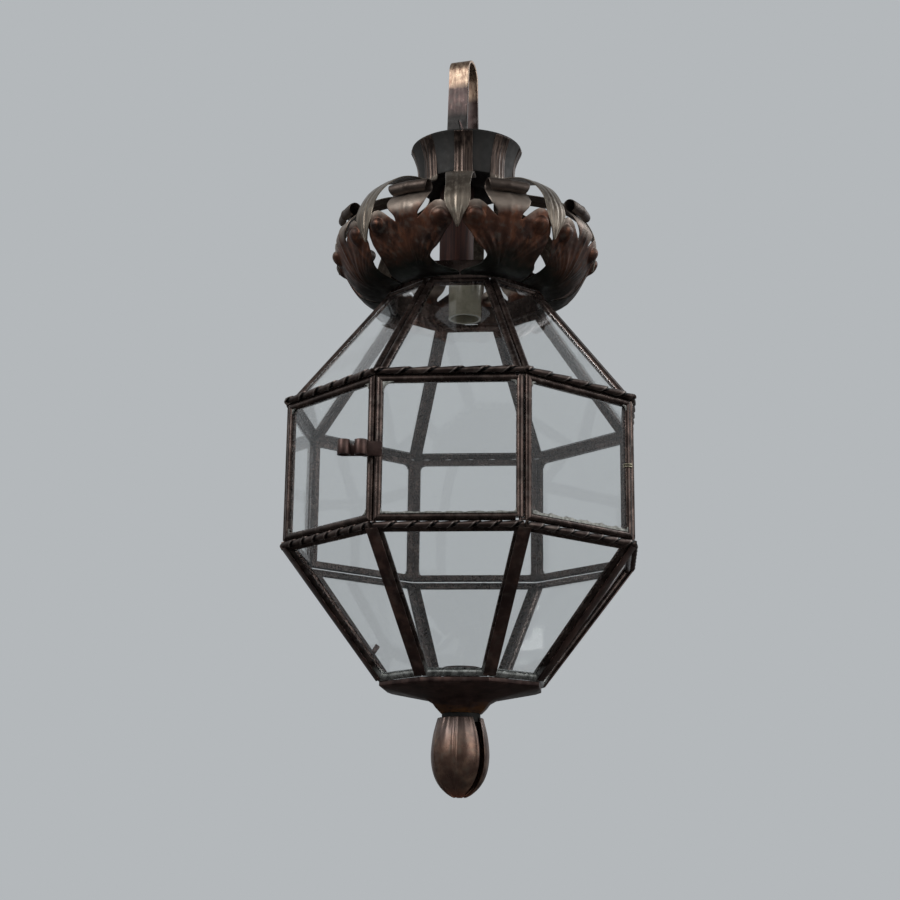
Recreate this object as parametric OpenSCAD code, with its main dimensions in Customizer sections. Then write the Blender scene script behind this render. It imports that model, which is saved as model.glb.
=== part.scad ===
// Octagonal glazed hall lantern in copper sheet and beaded strip, hung from a loop.
// Frame: +Z up, front panel towards -Y, origin where the hook carries the loop.

/* [Levels] */
// Height from the hook's seat down to the collar's rim
loop_drop = 95; // [80:1:120]
// Height of the flared collar
collar_h = 40; // [30:1:50]
// Height of the open crown, from the collar's floor to the roof's top edge
crown_h = 120; // [105:1:135]
// Rise of the sloping roof panes
roof_h = 119.5; // [100:0.5:140]
// Height of the upright belt panels
belt_h = 130.5; // [110:0.5:150]
// Drop of the sloping lower panes
lower_h = 120; // [100:1:140]
// Depth of the trumpet tray, from its rim to its neck
tray_h = 27; // [22:1:34]
// Height of the finial bud
finial_h = 76; // [60:1:90]

/* [Octagon] */
// Corner radius of the belt at the middle plane of its panels
belt_corner_r = 170; // [150:1:190]
// Corner radius of the roof's top edge
roof_top_corner_r = 75; // [68:1:85]
// Corner radius of the tray's rim
tray_corner_r = 79; // [72:1:90]
// Height of the tray's upright rim
tray_edge = 4; // [2:0.5:6]
// How far the tray's rim reaches past the lower panels' bottom edge
tray_lip = 3; // [2:0.5:3.5]

/* [Beaded frames] */
// Radius of the bead that frames each pane
bead_r = 3.5; // [3:0.1:4]
// Gap between the beads of neighbouring frames
bead_gap = 0.3; // [0.3:0.05:0.5]
// Thickness of the glass
glass_t = 2; // [1.5:0.1:2.2]
// Play of the glass on each side in its groove
glass_play = 0.15; // [0.1:0.05:0.25]
// How far the glass reaches into the bead
glass_grip = 1.7; // [1.2:0.1:1.9]
// Gap left in the mitres of a frame's four bars
mitre_gap = 0.1; // [0.05:0.05:0.3]
// Gap left between the belt and the lower panels, behind the rope
lower_seat = 2; // [1:0.25:3]

/* [Door] */
// Radius of the pivot wire
pivot_r = 1; // [0.8:0.05:1.2]
// Running clearance of the pivot wire in the hinge tube
pivot_play = 0.05; // [0.02:0.01:0.08]
// Gap above and below the bent ends of the pivot wire
pivot_end_gap = 0.35; // [0.3:0.05:0.5]
// How far the bent ends reach into the neighbouring stile
pivot_bite = 2; // [1.5:0.1:2.5]
// Height of the catch strip
catch_h = 13; // [10:0.5:16]
// Thickness of the catch strip
catch_t = 1; // [0.8:0.1:1.5]
// Outer radius of the two curled rolls on the catch
catch_roll_r = 5.8; // [4.5:0.1:6.5]
// Distance from the door's stile to the first roll
catch_reach = 14.1; // [13.5:0.1:18]
// Gap between the two rolls
catch_roll_gap = 3.1; // [2:0.1:6]
// How far the catch sits below the middle of the door
catch_drop = 2; // [0:0.5:20]

/* [Rope trim] */
// Radius of the twisted rope
rope_r = 2.7; // [2.2:0.1:3]
// Depth of the groove that winds round the rope
rope_groove = 1.1; // [0.6:0.1:1.4]
// Length of one twist on the top rope
top_rope_pitch = 23; // [18:1:30]
// Length of one twist on the bottom rope
bottom_rope_pitch = 18; // [14:1:26]
// Clearance between the ropes and the door
rope_gap = 0.35; // [0.3:0.05:0.6]
// Sides of the rope's section
rope_sides = 5; // [5:1:8]

/* [Neck and crown] */
// Height of the neck band that stands on the roof
neck_h = 18; // [14:1:24]
// Thickness of the neck band and of the other plain sheet parts
sheet_t = 1.5; // [1:0.1:2]
// Largest radius of the crown
crown_r = 130; // [120:1:140]
// Height of the leaves, from their base to the top of their curl
leaf_h = 84.3; // [78:0.1:92]
// Thickness of the crown's embossed sheet
leaf_t = 1.2; // [0.9:0.1:1.6]
// Height of the round bosses on the leaves' side lobes
boss_h = 4.5; // [2:0.5:6]
// Half-width of the ribbons where they lie on the collar
ribbon_half_w = 8.7; // [7:0.1:10]
// Half-width of the ribbons on the crown's shoulder
shoulder_half_w = 14; // [11:0.1:14.5]
// Angle by which the crown sits out of line with the panels
crown_turn = 1; // [-4:0.5:4]

/* [Collar and loop] */
// Radius of the collar's rim
collar_rim_r = 55; // [50:1:60]
// Radius of the collar's foot
collar_foot_r = 46; // [42:1:48]
// Radius of the wire hole in the collar's floor
wire_hole_r = 8; // [5:0.5:10]
// Width of the loop's strip
loop_w = 23; // [18:1:28]
// Thickness of the loop's strip
loop_t = 2.6; // [2:0.1:3.5]
// Inner radius of the loop's arch
loop_eye_r = 14; // [12:0.5:17]
// How far each leg of the loop stands from the axis at its foot
loop_spread = 22; // [19:0.5:26]
// Length of the loop's turned-out feet
loop_foot = 14; // [10:0.5:18]
// Angle by which the loop sits out of line with the panels
loop_turn = -6; // [-20:1:20]

/* [Lampholder and cup] */
// Outer radius of the cover tube
tube_r = 19.5; // [18:0.5:22]
// Height from the roof's top edge up to the cover tube's lower end
tube_end = 23; // [15:1:35]
// Outer radius of the lampholder
holder_r = 16; // [15:0.25:17]
// Radius of the lampholder's bore
holder_bore_r = 13.6; // [13.3:0.1:13.9]
// Depth of the lampholder's bore
holder_bore_h = 28; // [24:1:32]
// How far the lampholder hangs below the roof's top edge
holder_drop = 17.4; // [10:0.2:25]
// Clearance between the lampholder's shoulder and the cover tube
holder_play = 0.2; // [0.1:0.05:0.3]
// Outer radius of the candle cup
cup_r = 17; // [14:0.5:20]
// Radius of the candle cup's bore
cup_bore_r = 12; // [10:0.5:12.5]
// Depth of the candle cup's bore
cup_bore_h = 15; // [10:1:18]

/* [Finial] */
// Radius of the tray's neck
neck_r = 20; // [18:0.5:23]
// Largest radius of the finial bud
bud_r = 27; // [24:0.5:32]
// Height of the finial's collar ring
bud_ring_h = 8; // [5:0.5:10]
// Thickness of the bud's petals
petal_t = 1.5; // [1:0.1:2]

/* [Hidden] */
eps = 0.01;
sides = 8;
step = 360 / sides;
half_step = step / 2;

rim_z = -loop_drop;
floor_z = rim_z - collar_h;
roof_top_z = floor_z - crown_h;
belt_top_z = roof_top_z - roof_h;
belt_low_z = belt_top_z - belt_h;
lower_top_z = belt_low_z - lower_seat;
tray_z = lower_top_z - lower_h;
neck_z = tray_z - tray_h;

function apothem(corner_r) = corner_r * cos(half_step);
belt_a = apothem(belt_corner_r);
roof_top_a = apothem(roof_top_corner_r);
tray_a = apothem(tray_corner_r - tray_lip);
roof_tilt = atan2(belt_a - roof_top_a, roof_h);
lower_tilt = atan2(belt_a - tray_a, lower_h);

// Angle between the faces of two neighbouring panels of one tier, halved
function tier_half(tilt) = acos(cos(step) * pow(cos(tilt), 2) + pow(sin(tilt), 2)) / 2;
// Distance from a panel's edge to the centre line of its bead
function inset(half_angle) = (bead_r + bead_gap / 2) / cos(half_angle);

groove_w = glass_t + 2 * glass_play;
groove_x = bead_r - glass_grip;
pane_in = groove_x + glass_play;

copper = "#5a4236";
dark_copper = "#3c2f2a";
ribbon_copper = "#6a5c52";
pale_glass = [0.85, 0.92, 0.9, 0.3];
cream = "#c9c4b4";

// Panels: a panel is [low z, low apothem, high z, high apothem, low edge, high edge, side edge]
roof_panel = [belt_top_z, belt_a, roof_top_z, roof_top_a,
    inset(roof_tilt / 2), inset(roof_tilt / 2), inset(tier_half(roof_tilt))];
belt_panel = [belt_low_z, belt_a, belt_top_z, belt_a,
    inset(lower_tilt / 2), inset(roof_tilt / 2), inset(half_step)];
lower_panel = [tray_z, tray_a, lower_top_z, belt_a,
    inset(lower_tilt / 2), inset(lower_tilt / 2), inset(tier_half(lower_tilt))];

function slope_len(p) = norm([p[2] - p[0], p[3] - p[1]]);
function side_lean(p) = (p[1] - p[3]) * tan(half_step) / slope_len(p);
// Half-width of a panel's bead centre line at height y up its slope
function bead_x(p, y) = p[1] * tan(half_step) - side_lean(p) * y - p[6] * norm([1, side_lean(p)]);
// Corners of the bead's centre line, moved inwards by d
function bead_loop(p, d = 0) =
    let (low = p[4] + d, high = slope_len(p) - p[5] - d, w = d * norm([1, side_lean(p)]))
    [[-bead_x(p, low) + w, low], [bead_x(p, low) - w, low],
     [bead_x(p, high) - w, high], [-bead_x(p, high) + w, high]];

module on_panel(p, k) {
    rotate([0, 0, step * (k - 1)]) translate([0, -p[1], p[0]])
        rotate([90 - atan2(p[1] - p[3], p[2] - p[0]), 0, 0]) children();
}

function unit(v) = v / norm(v);
// Inward mitre direction at corner i of a loop, for a perpendicular reach of 1
function mitre(loop, i) =
    let (n = len(loop), a = unit(loop[(i + n - 1) % n] - loop[i]), b = unit(loop[(i + 1) % n] - loop[i]),
         d = unit(a + b)) d / abs(cross(d, b));

// Section of the beaded channel: round outside, flat inside, with a groove for the glass
module bead_section() {
    back = bead_r;
    flank = 0.92 * bead_r;
    difference() {
        union() {
            circle(r = bead_r, $fn = 48);
            polygon([[-flank, 0], [flank, 0], [flank, -back],
                     [-bead_r + back * tan(half_step) - bead_gap / 2, -back]]);
        }
        translate([groove_x, -groove_w / 2]) square([bead_r, groove_w]);
    }
}

// One bar of a frame, from corner i to the next, cut to its mitres
module bead_bar(loop, i) {
    j = (i + 1) % len(loop);
    run = loop[j] - loop[i];
    reach = 2 * bead_r;
    cut = unit(run) * mitre_gap / 2;
    intersection() {
        translate([loop[i].x, loop[i].y, 0]) rotate([0, 0, atan2(run.y, run.x)])
            translate([-reach, 0, 0]) rotate([90, 0, 90])
                linear_extrude(norm(run) + 2 * reach) bead_section();
        linear_extrude(4 * bead_r, center = true)
            polygon([loop[i] - reach * mitre(loop, i) + cut, loop[j] - reach * mitre(loop, j) - cut,
                     loop[j] + reach * mitre(loop, j) - cut, loop[i] + reach * mitre(loop, i) + cut]);
    }
}

module panel_frame(p, k) {
    loop = bead_loop(p);
    on_panel(p, k) for (i = [0:3]) bead_bar(loop, i);
}

module roof_frame(k) { color(copper) panel_frame(roof_panel, k); }
module lower_frame(k) { color(copper) panel_frame(lower_panel, k); }

// The frame right of the door carries the bent ends of the pivot wire
module belt_frame(k) {
    color(copper)
        if (k == 2) difference() {
            panel_frame(belt_panel, k);
            wire_sockets();
        }
        else panel_frame(belt_panel, k);
}

module pane(p, k) {
    on_panel(p, k) linear_extrude(glass_t, center = true) polygon(bead_loop(p, pane_in));
}

module roof_glass() { color(pale_glass) for (k = [1:sides]) pane(roof_panel, k); }
module belt_glass() { color(pale_glass) for (k = [2:sides]) pane(belt_panel, k); }
module lower_glass() { color(pale_glass) for (k = [1:sides]) pane(lower_panel, k); }
module door_glass() { color(pale_glass) pane(belt_panel, 1); }

// Door: the front belt panel, whose right stile is a tube on the pivot wire
pivot_x = bead_x(belt_panel, 0);
door_low = belt_low_z + belt_panel[4];
door_high = belt_top_z - belt_panel[5];
// Height of the pivot wire's bent ends, measured inwards from the door's outer edges
wire_in = -pivot_end_gap - pivot_r;
wire_low = door_low - bead_r - wire_in;
wire_high = door_high + bead_r + wire_in;
tube_cut = pivot_r + pivot_end_gap;
wire_reach = 2 * bead_r + bead_gap - bead_r + pivot_bite;

module wire_ends(r) {
    for (z = [wire_low, wire_high]) translate([pivot_x, -belt_a, z])
        rotate([0, 90, half_step]) cylinder(r = r, h = wire_reach, $fn = 32);
}

// Square sockets in the neighbouring stile, a little wider than the wire
module wire_sockets() {
    w = 2 * (pivot_r + 2 * pivot_play);
    for (z = [wire_low, wire_high]) translate([pivot_x, -belt_a, z])
        rotate([0, 0, half_step]) translate([0, -w / 2, -w / 2]) cube([wire_reach + pivot_play, w, w]);
}

module pivot_wire() {
    color("#4a4038") {
        translate([pivot_x, -belt_a, wire_low - pivot_r])
            cylinder(r = pivot_r, h = wire_high - wire_low + 2 * pivot_r, $fn = 32);
        wire_ends(0.98 * pivot_r);
    }
}

module door_frame() {
    loop = bead_loop(belt_panel);
    tube_low = wire_low + tube_cut;
    tube_high = wire_high - tube_cut;
    notch = bead_r;
    bar_end = pivot_x - pivot_r - pivot_play - 0.45;
    color(copper) difference() {
        union() {
            on_panel(belt_panel, 1) {
                bead_bar(loop, 3);
                for (i = [0, 2]) intersection() {
                    bead_bar(loop, i);
                    translate([-2 * belt_a + bar_end, -belt_h, -2 * bead_r])
                        cube([2 * belt_a, 3 * belt_h, 4 * bead_r]);
                }
            }
            translate([pivot_x, -belt_a, tube_low]) cylinder(r = bead_r, h = tube_high - tube_low, $fn = 48);
        }
        // Room for the bent ends of the wire as the door swings
        for (z = [belt_low_z, tube_high]) translate([pivot_x - notch, -belt_a - 2 * bead_r, z])
            cube([4 * bead_r, 4 * bead_r, tube_low - belt_low_z]);
        translate([pivot_x, -belt_a, belt_low_z])
            cylinder(r = pivot_r + pivot_play, h = belt_h, $fn = 32);
        // Groove for the glass along the hinge tube
        on_panel(belt_panel, 1) translate([pivot_x - bead_r - eps, loop[0].y, -groove_w / 2])
            cube([glass_grip + eps, loop[2].y - loop[0].y, groove_w]);
    }
}

// Catch: a strip on the door's left stile that reaches past the post and carries two rolls
module door_catch() {
    roll_y = bead_r + catch_roll_r;
    mid_z = (door_low + door_high) / 2 - catch_drop;
    catch_pitch = 2 * catch_roll_r + catch_roll_gap;
    color(copper) translate([-pivot_x, -belt_a, mid_z]) mirror([0, 1, 0]) difference() {
        union() {
            translate([-catch_reach - catch_pitch, bead_r + eps, -catch_h / 2])
                cube([catch_reach + catch_pitch + bead_r, catch_t, catch_h]);
            for (x = [catch_reach, catch_reach + catch_pitch])
                translate([-x, roll_y, -catch_h / 2]) cylinder(r = catch_roll_r, h = catch_h, $fn = 48);
        }
        for (x = [catch_reach, catch_reach + catch_pitch])
            translate([-x, roll_y, -catch_h])
                cylinder(r = catch_roll_r - catch_t, h = 2 * catch_h, $fn = 48);
        // Open ends of the curled strip
        for (x = [catch_reach, catch_reach + catch_pitch])
            translate([-x + catch_t, roll_y - catch_roll_r + catch_t, -catch_h])
                rotate([0, 0, 8]) cube([catch_roll_r, 1.2 * catch_t, 2 * catch_h]);
        // Waist between the rolls
        translate([-catch_reach - catch_pitch / 2, 0, catch_h / 2])
            rotate([0, 45, 0]) cube([0.4 * catch_h, 4 * catch_roll_r, 0.4 * catch_h], center = true);
    }
}

// Ropes: one twisted length along each side of the belt
rope_steps = 4.5;

module rope_length(run, pitch) {
    section = [for (i = [0:rope_sides - 1])
        let (r = i == 0 ? rope_r - rope_groove : rope_r, a = 360 * i / rope_sides) r * [cos(a), sin(a)]];
    linear_extrude(run, center = true, twist = -360 * run / pitch,
        slices = round(rope_steps * run / pitch), segments = rope_sides) polygon(section);
}

// A rope lies on the bead of the sloping panel beside it, clear of the door
module rope(bead_y, bead_z, z, pitch) {
    out = sqrt(pow(bead_r + rope_r + eps, 2) - pow(z - bead_z, 2)) - bead_y;
    run = 2 * (belt_a + out - rope_r) * tan(half_step);
    for (k = [0:sides - 1]) rotate([0, 0, step * k]) translate([0, -belt_a - out, z])
        rotate([0, 90, 0]) rope_length(run, pitch);
}

module top_rope() {
    color(dark_copper) rope(roof_panel[4] * sin(roof_tilt), belt_top_z + roof_panel[4] * cos(roof_tilt),
        door_high + bead_r + rope_gap + rope_r, top_rope_pitch);
}

module bottom_rope() {
    color(dark_copper) rope(lower_panel[5] * sin(lower_tilt), lower_top_z - lower_panel[5] * cos(lower_tilt),
        door_low - bead_r - rope_gap - rope_r, bottom_rope_pitch);
}

// Neck band: an upright octagonal ring on the roof's top edge
neck_low = roof_top_z + 2 * bead_gap;
neck_out = roof_top_corner_r + sheet_t / 2;

module octagon_prism(r, z, h) {
    rotate([0, 0, half_step]) translate([0, 0, z]) cylinder(r = r, h = h, $fn = sides);
}

module neck_band() {
    color(copper) difference() {
        octagon_prism(neck_out, neck_low, neck_h);
        octagon_prism(neck_out - sheet_t / cos(half_step), neck_low - 1, neck_h + 2);
    }
}

// Thin shell over a grid of points, thickened towards the side that its normals leave
module sheet(grid, t) {
    rows = len(grid);
    cols = len(grid[0]);
    function at(i, j) = grid[max(0, min(rows - 1, i))][max(0, min(cols - 1, j))];
    function normal(i, j) = unit(cross(at(i, j + 1) - at(i, j - 1), at(i + 1, j) - at(i - 1, j)));
    outer = [for (i = [0:rows - 1]) for (j = [0:cols - 1]) at(i, j)];
    inner = [for (i = [0:rows - 1]) for (j = [0:cols - 1]) at(i, j) - t * normal(i, j)];
    n = rows * cols;
    quads = concat(
        [for (i = [0:rows - 2]) for (j = [0:cols - 2])
            let (a = i * cols + j) [a, a + cols, a + cols + 1, a + 1]],
        [for (i = [0:rows - 2]) for (j = [0:cols - 2])
            let (a = n + i * cols + j) [a, a + 1, a + cols + 1, a + cols]],
        [for (i = [0:rows - 2]) let (a = i * cols) [a, a + n, a + n + cols, a + cols]],
        [for (i = [0:rows - 2]) let (a = i * cols + cols - 1) [a, a + cols, a + n + cols, a + n]],
        [for (j = [0:cols - 2]) [j, j + 1, j + 1 + n, j + n]],
        [for (j = [0:cols - 2]) let (a = n - cols + j) [a, a + n, a + n + 1, a + 1]]);
    polyhedron(points = concat(outer, inner),
        faces = [for (q = quads) for (t3 = [[q[0], q[1], q[2]], [q[0], q[2], q[3]]]) t3]);
}

function polar(r, a, z) = [r * sin(a), -r * cos(a), z];

// Acanthus leaf: rows of [reach, rise, half-width in degrees, boss, cupping, lift of the edges]
leaf_rows = [
    [0.00, 0.000, 22.0, 0.0, 0.0, 0.00], [0.16, 0.007, 21.5, 0.0, 0.0, 0.00],
    [0.34, 0.037, 12.5, 0.0, 0.0, 0.00], [0.46, 0.076, 9.3, 0.0, 0.2, 0.00],
    [0.57, 0.130, 8.3, 0.0, 0.4, 0.00], [0.68, 0.214, 13.3, 0.0, 0.6, 0.00],
    [0.78, 0.329, 17.0, 0.0, 0.8, 0.00], [0.85, 0.415, 20.0, 0.5, 1.0, 0.00],
    [0.90, 0.463, 20.6, 1.0, 1.0, 0.00], [0.92, 0.498, 20.0, 0.8, 1.0, 0.02],
    [0.94, 0.524, 17.5, 0.2, 0.8, 0.08], [0.95, 0.535, 10.0, 0.0, 0.4, 0.08],
    [0.96, 0.546, 5.5, 0.0, 0.2, -0.03], [0.99, 0.629, 8.2, 0.0, 0.0, 0.00],
    [0.98, 0.718, 10.2, 0.0, -0.3, 0.00], [0.89, 0.789, 11.6, 0.0, -0.5, 0.00],
    [0.76, 0.860, 12.2, 0.0, -0.6, 0.00], [0.72, 0.925, 12.2, 0.0, -0.5, 0.00],
    [0.76, 0.982, 12.0, 0.0, -0.3, 0.00], [0.85, 1.000, 11.6, 0.0, 0.0, 0.00],
    [0.95, 0.966, 11.0, 0.0, 0.0, 0.00], [0.97, 0.906, 10.3, 0.0, 0.0, 0.00],
    [0.92, 0.854, 9.0, 0.0, 0.0, 0.00]];
leaf_cols = [-1, -0.88, -0.76, -0.5, 0, 0.5, 0.76, 0.88, 1];
boss_cols = [0, 0.6, 1, 0.3, 0, 0.3, 1, 0.6, 0];
leaf_base_r = neck_out + 2 * bead_gap + leaf_t;
leaf_base_z = roof_top_z + 3 * bead_gap;
rib_h = 1.2;
// The midrib starts above the leaf's foot, which lies against the neck band
rib_from = 0.03;
cup_h = 1.6;

module crown_leaf(k) {
    grid = [for (row = leaf_rows) [for (j = [0:len(leaf_cols) - 1])
        let (t = leaf_cols[j],
             r = leaf_base_r + row[0] * (crown_r - leaf_base_r) + row[3] * boss_cols[j] * boss_h
                 + row[4] * cup_h * pow(t, 2) + (t == 0 && row[1] > rib_from ? rib_h : 0))
        polar(r, step * (k - 0.5) + crown_turn + t * row[2],
            leaf_base_z + (row[1] + row[5] * pow(t, 2)) * leaf_h)]];
    color(copper) sheet(grid, leaf_t);
}

// Ribbon: rows of [reach, rise, half-width], from the collar's foot to the pointed tip.
// Reach runs from the collar's foot to the crown, rise from the leaves' base to the collar's floor,
// and the half-width is a share of the shoulder's.
ribbon_gap = bead_gap;
ribbon_in = collar_foot_r + ribbon_gap + leaf_t;
ribbon_top = floor_z - leaf_base_z;
ribbon_rows = [[0.000, 0.975, 0.62], [0.055, 0.930, 0.69], [0.20, 0.915, 0.79], [0.467, 0.908, 0.86],
    [0.70, 0.840, 0.96], [0.855, 0.723, 1], [0.952, 0.606, 1], [1.00, 0.488, 0.89], [0.988, 0.371, 0.57],
    [0.964, 0.295, 0.39], [0.945, 0.252, 0.21], [0.933, 0.228, 0.05]];

function collar_line(f) = collar_foot_r + (collar_rim_r - collar_foot_r) * (0.35 * f + 0.65 * f * f * f);

module crown_ribbon(k) {
    collar_part = [for (f = [1, 0.8, 0.55, 0.3, 0.08])
        [collar_line(f) + ribbon_gap + leaf_t, floor_z + f * collar_h, ribbon_half_w]];
    free_part = [for (row = ribbon_rows)
        [ribbon_in + row[0] * (crown_r - ribbon_in), leaf_base_z + row[1] * ribbon_top, row[2] * shoulder_half_w]];
    rows = concat(collar_part, free_part);
    grid = [for (i = [len(rows) - 1:-1:0]) [for (t = [-1, 0, 1])
        let (r = rows[i][0], a = asin(min(1, rows[i][2] / r)))
        polar(r + (t == 0 ? rib_h / 2 : 0), step * (k - 1) + crown_turn + t * a, rows[i][1])]];
    color(ribbon_copper) sheet(grid, leaf_t);
}

// Collar: a flared cup with a floor that carries the loop and the cover tube
module top_collar() {
    wall = [for (f = [0:0.1:1]) [collar_line(f), floor_z + f * collar_h]];
    inside = [for (f = [1:-0.1:0]) [collar_line(f) - sheet_t, floor_z + max(sheet_t, f * collar_h)]];
    color(dark_copper) rotate_extrude($fn = 96)
        polygon(concat([[wire_hole_r, floor_z]], wall, inside, [[wire_hole_r, floor_z + sheet_t]]));
}

// Loop: a strip bent over into an arch, with its feet on the collar's floor
foot_z = floor_z + sheet_t;
arch_z = -loop_eye_r;
arch_parts = 24;

function arch(r) = [for (i = [0:arch_parts]) let (a = 180 * i / arch_parts) [r * cos(a), arch_z + r * sin(a)]];
// Outline of one leg and its turned-out foot, from the outer face round to the inner face
leg = let (foot_end = loop_spread + loop_t + loop_foot)
    [[loop_spread + loop_t, foot_z + loop_t], [foot_end, foot_z + loop_t], [foot_end, foot_z],
     [loop_spread, foot_z], [loop_spread, foot_z + loop_t]];
function reversed(list) = [for (i = [len(list) - 1:-1:0]) list[i]];

module hanging_loop() {
    slit_z = arch_z - 0.75 * (arch_z - rim_z);
    slit_low = foot_z + 2 * loop_t;
    color(copper) rotate([0, 0, loop_turn]) difference() {
        rotate([90, 0, 90]) linear_extrude(loop_w, center = true)
            polygon(concat(reversed(arch(loop_eye_r + loop_t)), leg, arch(loop_eye_r),
                reversed([for (p = leg) [-p.x, p.y]])));
        // Slit that parts each leg into two tines
        rotate([90, 0, 0]) linear_extrude(4 * loop_spread, center = true) polygon([
            [0, slit_z], [0.40 * loop_w, rim_z], [0.40 * loop_w, slit_low],
            [0.17 * loop_w, slit_low], [0.17 * loop_w, rim_z]]);
    }
}

// Cover tube under the collar, with the lampholder's shoulder held in its lower end
tube_low_z = roof_top_z + tube_end;
holder_low_z = roof_top_z - holder_drop;
shoulder_h = 10;
holder_high_z = tube_low_z + shoulder_h + 2;

module cover_tube() {
    color("#4a2c26") translate([0, 0, tube_low_z]) difference() {
        cylinder(r = tube_r, h = floor_z - tube_low_z, $fn = 96);
        translate([0, 0, -1]) cylinder(r = tube_r - sheet_t, h = floor_z - tube_low_z + 2, $fn = 96);
    }
}

module lampholder() {
    color(cream) difference() {
        union() {
            translate([0, 0, holder_low_z])
                cylinder(r = holder_r, h = holder_high_z - holder_low_z, $fn = 96);
            translate([0, 0, tube_low_z + 2])
                cylinder(r = tube_r - sheet_t - holder_play, h = shoulder_h, $fn = 96);
        }
        translate([0, 0, holder_low_z - 1]) cylinder(r = holder_bore_r, h = holder_bore_h + 1, $fn = 96);
        translate([0, 0, holder_low_z]) cylinder(r = wire_hole_r / 2, h = 4 * holder_bore_h, $fn = 32);
    }
}

// Tray: an eight-sided trumpet of sheet that closes the lantern below
tray_top_z = tray_z - 2 * bead_gap;

// Trumpet: pairs of [height, reach], from the neck to the foot of the upright rim
trumpet = [[0, 0], [0.22, 0.085], [0.42, 0.145], [0.56, 0.24], [0.69, 0.475], [0.81, 0.705], [0.91, 0.90], [1, 1]];

module tray() {
    rise = tray_top_z - tray_edge - neck_z;
    wall = [for (p = trumpet) [neck_r + (tray_corner_r - neck_r) * p[1], neck_z + rise * p[0]]];
    inside = [for (i = [len(wall) - 1:-1:0])
        [max(wire_hole_r / 2, wall[i].x - 2 * sheet_t), min(tray_top_z, wall[i].y + sheet_t)]];
    color(copper) rotate([0, 0, half_step]) rotate_extrude($fn = sides)
        polygon(concat([[wire_hole_r / 2, neck_z]], wall, [[tray_corner_r, tray_top_z]],
            [[tray_corner_r - 2 * sheet_t, tray_top_z]], inside, [[wire_hole_r / 2, neck_z + sheet_t]]));
}

module candle_cup() {
    floor = neck_z + sheet_t;
    color(copper) difference() {
        union() {
            translate([0, 0, floor]) cylinder(r = cup_r / 2, h = tray_top_z - floor + eps, $fn = 64);
            translate([0, 0, tray_top_z]) cylinder(r = cup_r, h = sheet_t + cup_bore_h, $fn = 96);
        }
        translate([0, 0, tray_top_z + sheet_t])
            cylinder(r = cup_bore_r, h = cup_bore_h + 1, $fn = 96);
    }
}

ring_r = neck_r - 2.2;

// Finial: a collar ring and four cupped petals that close into a bud
module finial_ring() {
    color(dark_copper) translate([0, 0, neck_z - bud_ring_h]) difference() {
        cylinder(r = ring_r, h = bud_ring_h, $fn = 64);
        translate([0, 0, -1]) cylinder(r = ring_r - 2 * sheet_t, h = bud_ring_h + 2, $fn = 64);
    }
}

// Petal: rows of [drop, reach, half-width in degrees], from the neck to the closed tip
petal_rows = [[0.05, 0.80, 33], [0.12, 0.83, 37], [0.25, 0.91, 41], [0.40, 0.985, 43], [0.52, 1.00, 43],
    [0.66, 0.95, 43], [0.78, 0.83, 42], [0.88, 0.64, 40], [0.96, 0.38, 34], [1.00, 0.16, 22]];
petal_cols = [-1, -0.7, -0.35, 0, 0.35, 0.7, 1];
// The front and back petals lie over the side ones
petal_over = petal_t + bead_gap;
petal_lap = 4;
petal_rib = 0.8;

module finial_petal(k) {
    over = k % 2 == 1 ? petal_over : 0;
    wide = k % 2 == 1 ? petal_lap : 0;
    grid = [for (i = [len(petal_rows) - 1:-1:0]) [for (t = petal_cols)
        let (row = petal_rows[i], r = row[1] * (bud_r - petal_over) + over + (t == 0 ? petal_rib : 0))
        polar(r, 90 * (k - 1) + crown_turn + (row[2] + wide) * t, neck_z - row[0] * finial_h)]];
    color(copper) sheet(grid, petal_t);
}

hanging_loop();
top_collar();
cover_tube();
lampholder();
neck_band();
for (i = [1:sides]) crown_ribbon(i);
for (i = [1:sides]) crown_leaf(i);
for (i = [1:sides]) roof_frame(i);
door_frame();
for (i = [2:sides]) belt_frame(i);
for (i = [1:sides]) lower_frame(i);
roof_glass();
belt_glass();
lower_glass();
door_glass();
top_rope();
bottom_rope();
pivot_wire();
door_catch();
tray();
candle_cup();
finial_ring();
for (i = [1:4]) finial_petal(i);
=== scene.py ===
"""Octagonal hall lantern in beaten copper sheet, beaded strip and old glass."""

import math

import bpy
from mathutils import Matrix, Vector


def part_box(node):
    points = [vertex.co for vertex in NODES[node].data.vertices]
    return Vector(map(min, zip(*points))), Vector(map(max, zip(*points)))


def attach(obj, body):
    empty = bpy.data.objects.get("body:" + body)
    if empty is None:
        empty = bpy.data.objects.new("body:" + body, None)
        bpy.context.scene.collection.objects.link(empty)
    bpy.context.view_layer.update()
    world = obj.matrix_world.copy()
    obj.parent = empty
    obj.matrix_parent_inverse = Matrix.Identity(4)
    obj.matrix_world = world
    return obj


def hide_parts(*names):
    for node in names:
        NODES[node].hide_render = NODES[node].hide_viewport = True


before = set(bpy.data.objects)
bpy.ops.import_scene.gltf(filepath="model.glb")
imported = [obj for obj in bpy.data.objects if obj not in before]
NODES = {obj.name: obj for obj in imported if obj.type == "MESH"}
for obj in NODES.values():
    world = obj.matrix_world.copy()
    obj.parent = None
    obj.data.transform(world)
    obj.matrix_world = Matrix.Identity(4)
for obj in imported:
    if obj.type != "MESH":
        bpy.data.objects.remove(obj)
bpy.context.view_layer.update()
MM = 0.001
SIDES = 8
STEP = 2 * math.pi / SIDES

# Heights in millimetres from the underside of the loop's arch, and radii, as in the solids
FLOOR_Z = -135
BELT_TOP_Z = -374.5
BELT_LOW_Z = -505
TRAY_Z = -627
NECK_Z = -654
TIP_Z = -730
CROWN_TURN = 1
LEAF_T = 1.2
BELT_R = 170
TRAY_FOOT_R = 78.2
BUD_R = 27
ROPE_R = 3.1


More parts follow.
